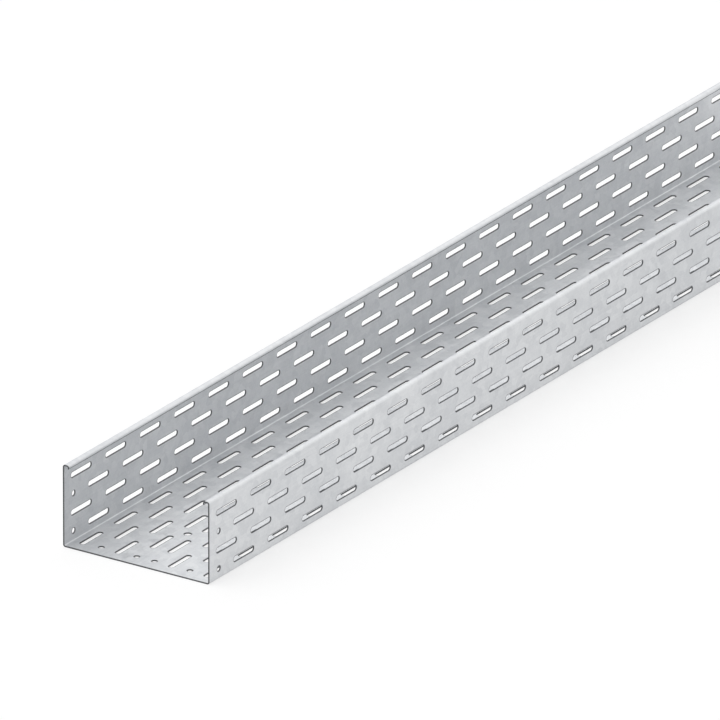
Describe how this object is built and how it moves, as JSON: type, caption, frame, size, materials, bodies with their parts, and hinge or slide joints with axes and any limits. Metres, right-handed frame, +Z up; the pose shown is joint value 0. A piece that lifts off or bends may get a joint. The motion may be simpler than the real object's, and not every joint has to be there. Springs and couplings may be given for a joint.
{
  "type": "cable tray",
  "caption": "Straight perforated cable tray folded from one steel sheet: slotted base, two slotted side walls with inward turned lips, open at the top and at both ends.",
  "frame": {"origin": "middle of the underside of the base", "axes": "+Y along the tray, away from the end that the picture shows; +X to the right seen from that end; +Z up, out of the open side"},
  "size_m": [0.203, 1.5, 0.103],
  "materials": {
    "galvanised_steel": "satin"
  },
  "bodies": {
    "root": {"tray": "galvanised_steel"}
  },
  "joints": []
}
